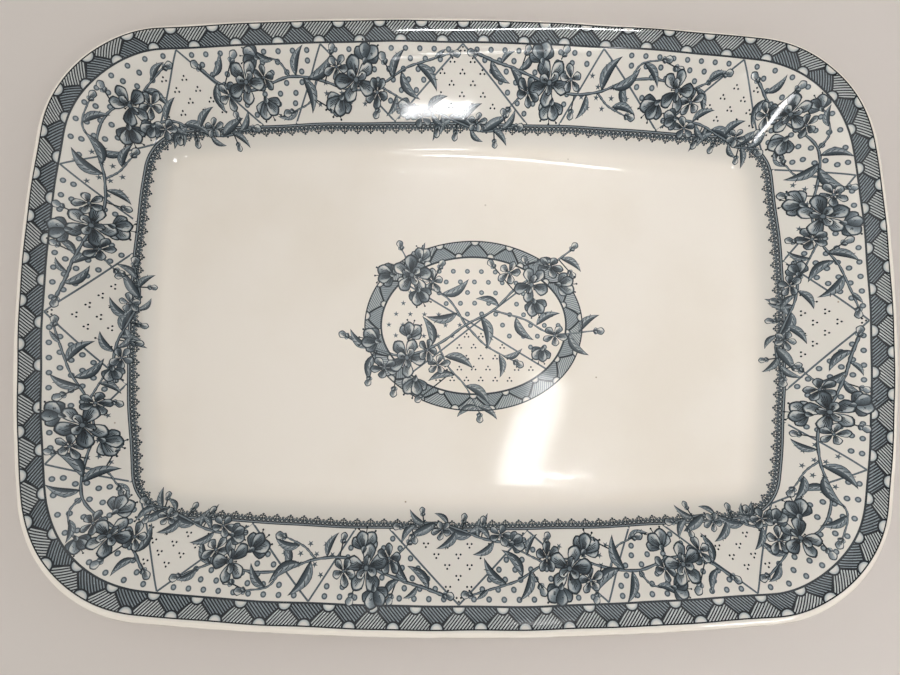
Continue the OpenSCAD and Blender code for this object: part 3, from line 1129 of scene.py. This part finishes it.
def worn_foot():
    """The foot: glazed on its sides, with bare clay where it has worn against the table."""
    finish = Finish(bpy.data.materials.new("worn_foot"))
    height = finish.node("SeparateXYZ", {0: finish.places}).outputs["Z"]
    unevenness = finish.ranged(finish.noise(300, 3), 0.3, 0.7, -0.0003, 0.0003)
    bare = finish.ranged(finish.maths("ADD", height, unevenness), 0.0008, 0.0003)
    finish.fill(finish.shader, {"Base Color": finish.mixed(bare, glaze_tone(finish), CLAY),
                                "Roughness": finish.ranged(bare, 0, 1, 0.12, 0.75)})
    return finish.owner


def print_ink(name, strength):
    """Slate-blue ink under the glaze, laid a little unevenly."""
    finish = Finish(bpy.data.materials.new(name))
    uneven = finish.ranged(finish.noise(60, 3), 0.3, 0.75, strength, 0.86 * strength)
    grain = finish.ranged(finish.noise(2200, 2), 0.3, 0.7, 0.88, 1.06)
    ink = finish.maths("MULTIPLY", finish.attribute("ink"), finish.maths("MULTIPLY", uneven, grain))
    ramp = finish.node("ValToRGB", {"Fac": ink})
    stops = ramp.color_ramp.elements
    steps = 10
    for i in range(1, steps):
        stops.new(i / steps)
    for i, stop in enumerate(stops):
        share = i / steps
        bluer = share * (1 - share) * (0.09 + 0.32 * (1 - share) ** 3)
        tint = [(INK[c] / CREAM[c]) ** share * (1 + (c - 1) * bluer * 2) for c in range(3)]
        stop.color = (*tint, 1)
    return glazed(finish, finish.mixed(1.0, glaze_tone(finish), ramp.outputs["Color"], "MULTIPLY"))


# The pieces
piece(dish_mesh(), "glazed_dish", "dish_body", cream_glaze())
piece(foot_mesh(), "foot", "foot_ring", worn_foot())
fired(edge_band(), "edge_band", "edge_band_print", print_ink("band_print", 1.08))
fired(border_print(), "border", "border_print", print_ink("border_print", 1.02))
fired(well_edging(), "well_edging", "well_edging_print", print_ink("edging_print", 0.95))
fired(centre_medallion(), "centre_medallion", "centre_medallion_print",
      print_ink("medallion_print", 0.94))


# The studio, whose places and sizes are in metres
def floor_sheet():
    """A plain pale floor under the foot."""
    bm = bmesh.new()
    level = Matrix.Translation((0, 0, -0.0002))
    bmesh.ops.create_grid(bm, x_segments=1, y_segments=1, size=6, matrix=level)
    floor = placed("studio_floor", mesh_of(bm, "studio_floor"))
    finish = Finish(bpy.data.materials.new("studio_floor"))
    finish.fill(finish.shader, {"Base Color": linear(214, 206, 199), "Roughness": 0.8})
    floor.data.materials.append(finish.owner)


def soft_lamp(name, place, target, size, power, spread=180, roll=0):
    """A rectangular lamp that faces a target: its width runs along x, or is rolled from there.

    A narrow spread stands for a grid in front of it.
    """
    data = bpy.data.lights.new(name, "AREA")
    data.shape = "RECTANGLE"
    data.size, data.size_y = size
    data.energy = power
    data.spread = math.radians(spread)
    lamp = placed(name, data)
    back = (Vector(place) - Vector(target)).normalized()
    side = (Vector((1, 0, 0)) - back * back.x).normalized()
    turn = Matrix((side, back.cross(side), back)).transposed().to_4x4()
    lamp.matrix_world = Matrix.Translation(place) @ turn @ Matrix.Rotation(math.radians(roll), 4, "Z")


def lamp_row(name, count, height, path, targets, width, power, spread):
    """A row of narrow lamps along a path, whose targets run from one place to another."""
    path_x, path_y = zip(*path)
    marks = np.linspace(path_x[0], path_x[-1], count + 1)
    ends = np.column_stack([marks, np.interp(marks, path_x, path_y)])
    for i, (start, end) in enumerate(zip(ends, ends[1:])):
        middle = (start + end) / 2
        along = end - start
        target = Vector(targets[0]).lerp(Vector(targets[1]), (i + 0.5) / count)
        roll = math.degrees(math.atan2(along[1], along[0]))
        size = (math.hypot(*along), width)
        soft_lamp(f"{name}_{i}", (*middle, height), target, size, power, spread, roll)


def studio_light():
    """A sky brighter on the left, a pale ceiling, soft lamps, and rows of lamps that the glaze mirrors."""
    sky = Finish(bpy.data.worlds.new("studio"), "Background")
    bpy.context.scene.world = sky.owner
    slant = sky.node("VectorMath", {0: sky.coordinates["Generated"], 1: (-0.28, 0.02, 0.06)},
                     operation="DOT_PRODUCT")
    level = sky.maths("ADD", slant.outputs["Value"], 0.61)
    sky.fill(sky.shader, {"Color": [1.0, 0.985, 0.965], "Strength": level})
    soft_lamp("ceiling", (0.22, 0.2, 2.0), (0.22, 0.2, 0), (1.55, 1.2), 2.2)
    soft_lamp("ceiling_panel", (0.4, 0.42, 1.98), (0.4, 0.42, 0), (1.2, 0.76), 1.4)
    soft_lamp("right_lamp", (1.5, 0.1, 1.3), (0, 0, 0), (1.0, 1.0), 3.0)
    soft_lamp("near_lamp", (1.0, -1.0, 2.0), (0.17, -0.11, 0), (0.3, 0.3), 0.19, 22)
    soft_lamp("near_wall_lamp", (-0.06, -0.88, 2.0), (0.142, 0.09, 0.02), (0.1, 0.26), 0.008, 10, -12)
    lamp_row("ceiling_lamp", count=5, height=1.4, path=((0.179, -0.224), (0.257, 0.014)),
             targets=((0.032, -0.0795, 0), (0.048, -0.0305, 0)), width=0.095, power=0.00017, spread=6)
    soft_lamp("ceiling_glow", (0.222, -0.105, 1.42), (0.04, -0.055, 0), (0.135, 0.29), 0.0018, 15, -18)
    lamp_row("brow_lamp", count=8, height=1.0,
             path=((-0.079, 0.359), (0.037, 0.379), (0.236, 0.535), (0.341, 0.571)),
             targets=((-0.031, 0.133, 0.036), (0.0815, 0.133, 0.036)),
             width=0.011, power=0.0004, spread=5.5)
    lamp_row("hollow_lamp", count=12, height=1.0,
             path=((-0.024, -0.272), (0.047, -0.237), (0.168, -0.088), (0.287, 0.074)),
             targets=((-0.017, 0.083, 0.009), (0.0757, 0.0775, 0.008)),
             width=0.06, power=0.00019, spread=6)
    lamp_row("foot_lamp", count=3, height=1.4, path=((0.2, -0.226), (0.345, -0.226)),
             targets=((0.0325, -0.0755, 0.0076), (0.0625, -0.0755, 0.0076)),
             width=0.018, power=0.00018, spread=4)
    soft_lamp("window", (0.0, -0.92, 1.5), (0, 0.11, 0.02), (0.14, 0.042), 0.62)


# Width of the sensor, in millimetres
SENSOR_W = 36
# Width of the picture and focal length of its lens, in pixels
PICTURE_W = 900
FOCAL_LENGTH = 760
# Place of the camera, and its turns in radians
CAMERA_PLACE = (-0.01135, -0.0363, 0.3719)
CAMERA_TURNS = (("Z", 0.0077), ("Y", -0.02), ("X", 0.0816))


def photo_camera():
    """The camera over the platter, a little to the near side."""
    data = bpy.data.cameras.new("photo_camera")
    data.sensor_width = SENSOR_W
    data.lens = SENSOR_W * FOCAL_LENGTH / PICTURE_W
    camera = placed("photo_camera", data)
    turn = Matrix.Identity(4)
    for axis, angle in CAMERA_TURNS:
        turn = turn @ Matrix.Rotation(angle, 4, axis)
    camera.matrix_world = Matrix.Translation(CAMERA_PLACE) @ turn
    bpy.context.scene.camera = camera


floor_sheet()
studio_light()
photo_camera()
bpy.context.scene.view_settings.view_transform = "Standard"
